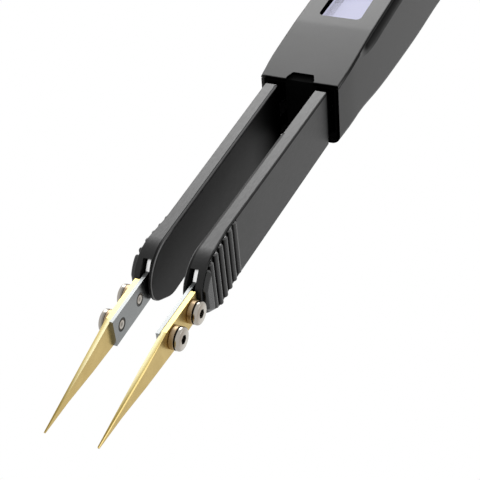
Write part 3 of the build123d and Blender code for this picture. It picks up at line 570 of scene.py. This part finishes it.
strip_finish = turned_metal("nickel_strip", strip_dark, strip_dark, 0.24, 0.05 * mm, stretch=(1, 60, 1))
y = strip_finish.axes()[1]
face_y, face_z = strip_finish.facing()[1:]
sheared = face_z.rise(0.6, 0.9)
front_edge_highlight = face_y.fall(-0.7, -0.3) * y.above(shoulder_front) * y.below(shoulder_back)
strip_finish.lay(strip_finish.noise(2.5 * mm, detail=3.0), strip_light)
strip_finish.lay(sheared, (0.24, 0.25, 0.25))
# Painted highlight on the front edges of the strip's shoulder.
strip_finish.lay(front_edge_highlight, grey(0.85))
strip_finish.set(Roughness=strip_finish.so_far("Roughness") + 0.10 * sheared)
# Painted shade: a dark ring in the hole around each screw.
strip_finish.paint_shade(around_screws(strip_finish).band(hole_inside, hole_outside) * 0.75)
dress(strip_finish, *both("contact_strip"))


# --- Blades, collars and their screws ----------------------------------------------------------
# Gold-plated blades, ground to a point from above and from both sides. Two socket screws with
# turned, gold-plated collars under their heads clamp each blade to the outer side of its strip.
arm_lean = 0.0154                   # how far an arm leans inwards for each metre of its length
taper_y = -69.5 * mm                # a blade tapers from here to its point
tip_run = (-88 * mm, -74 * mm)
ridge_side = 6.25 * mm
ridge_taper = 0.0152
gold_dark = (0.53, 0.39, 0.135)
gold_light = (0.59, 0.44, 0.16)
gold_top = (0.46, 0.37, 0.15)
bevel_highlight_gold = (0.80, 0.62, 0.26)

blade_finish = turned_metal(
    "gold_blade", gold_dark, gold_light, 0.26, scratch=0.12 * mm, stretch=(1, 1, 20), relief=0.0004 * mm,
)
x, y = blade_finish.axes()[:2]
face_z = blade_finish.facing()[2]
ahead = y.below(taper_y)
upward = face_z.rise(0.88, 0.94)
bevel = face_z.band((0.3, 0.5), (0.75, 0.85)) * ahead
ridge_x = (y - taper_y) * ridge_taper + y * arm_lean + ridge_side
shade = (abs(x) - ridge_x).rise(-0.70 * mm, -0.05 * mm)
behind_tip = y.rise(*tip_run)
pale = blade_finish.mix(behind_tip, (0.50, 0.38, 0.13), (0.86, 0.78, 0.48))
deep = blade_finish.mix(behind_tip, (0.20, 0.14, 0.03), (0.55, 0.44, 0.17))
# Painted shade: the flat top behind the taper is toned darker than the plating.
blade_finish.lay(upward * (1 - ahead), gold_top)
# Painted highlight and painted shade on either side of the ridge of the sloped top.
blade_finish.lay(upward * ahead, blade_finish.mix(shade, pale, deep))
# Painted highlight on the bevel.
blade_finish.lay(bevel, bevel_highlight_gold)
dress(blade_finish, *both("blade"))


def towards_the_front_top(finish):
    """Runs from 0 at the lower rear of each screw head to 1 at its upper front."""
    y, z = finish.axes()[1:]
    at_the_rear = y.above((rear_screw_y + front_screw_y) / 2)
    ahead = front_screw_y - y + at_the_rear * (rear_screw_y - front_screw_y)
    return (ahead * 0.6 + (z - screw_z) * 0.8).rise(-1.2 * mm, 1.9 * mm)


collar_gold = (0.56, 0.40, 0.16)
collar_finish = turned_metal("gold_collar", collar_gold, collar_gold, 0.36, 0.06 * mm, stretch=(20, 1, 1))
# Painted shade: each collar darkens towards its upper front.
collar_finish.lay(towards_the_front_top(collar_finish), (0.33, 0.25, 0.16))
dress(collar_finish, *both("collars"))

socket_side = 5.4 * mm              # the sockets lie further out than this
inner_side = 4.6 * mm               # the screws' inner ends lie further in than this
head_side = 7.15 * mm               # the heads would start here if the arms didn't lean
screw_steel = (0.56, 0.53, 0.48)
screw_finish = turned_metal("screw_steel", screw_steel, screw_steel, roughness=0.14, scratch=0.06 * mm)
x, y = screw_finish.axes()[:2]
off = around_screws(screw_finish)
front_top = towards_the_front_top(screw_finish)
# Painted shade: the heads darken towards their upper front and around their rim.
screw_finish.lay(front_top, (0.28, 0.23, 0.18))
screw_finish.lay(off.above(1.62 * mm), (0.38, 0.35, 0.31))
socket = off.fall(0.66 * mm, 0.78 * mm) * abs(x).above(socket_side)
inner_end = abs(x).below(inner_side)
thread = off.band((0.62 * mm, 0.78 * mm), (0.99 * mm, 1.02 * mm)) * inner_end
point = off.fall(0.2 * mm, 0.6 * mm) * inner_end
upright = abs(screw_finish.facing()[0]).fall(0.25, 0.5) * off.above(1.5 * mm)
low = (abs(x) - y * arm_lean - head_side).fall(0.22 * mm, 0.34 * mm)
head_shade = upright * low * front_top.rise(0.2, 0.6) * (0.4 + 0.6 * x.above(0.0))
# Paints shade in the socket, on the thread and point, and along the head's upper side.
screw_finish.paint_shade((socket * 0.75).most(thread * 0.85).most(point * 0.5).most(head_shade))
dress(screw_finish, *both("tip_screws"))


# --- Camera ------------------------------------------------------------------------------------
# A long lens that looks down along the tester from in front and from its right. The image is
# square, and the lens is given by its focal length in the image's own pixels.
camera_place = (79.63 * mm, -186.56 * mm, 135.40 * mm)
camera_right = (0.91238, 0.40125, -0.08101)
camera_up = (-0.18891, 0.58829, 0.78628)
camera_back = (0.36315, -0.70208, 0.61254)
focal_pixels = 1233.5
image_pixels = 480
sensor_width = 36.0
camera = bpy.data.cameras.new("bench_camera")
camera.sensor_width = sensor_width
camera.lens = sensor_width * focal_pixels / image_pixels
camera.clip_start = 0.01
camera_turn = Matrix((camera_right, camera_up, camera_back)).transposed().to_4x4()
camera_holder = bpy.data.objects.new("bench_camera", camera)
camera_holder.matrix_world = Matrix.Translation(camera_place) @ camera_turn
bpy.context.scene.collection.objects.link(camera_holder)
bpy.context.scene.camera = camera_holder
bpy.context.scene.view_settings.view_transform = "Standard"
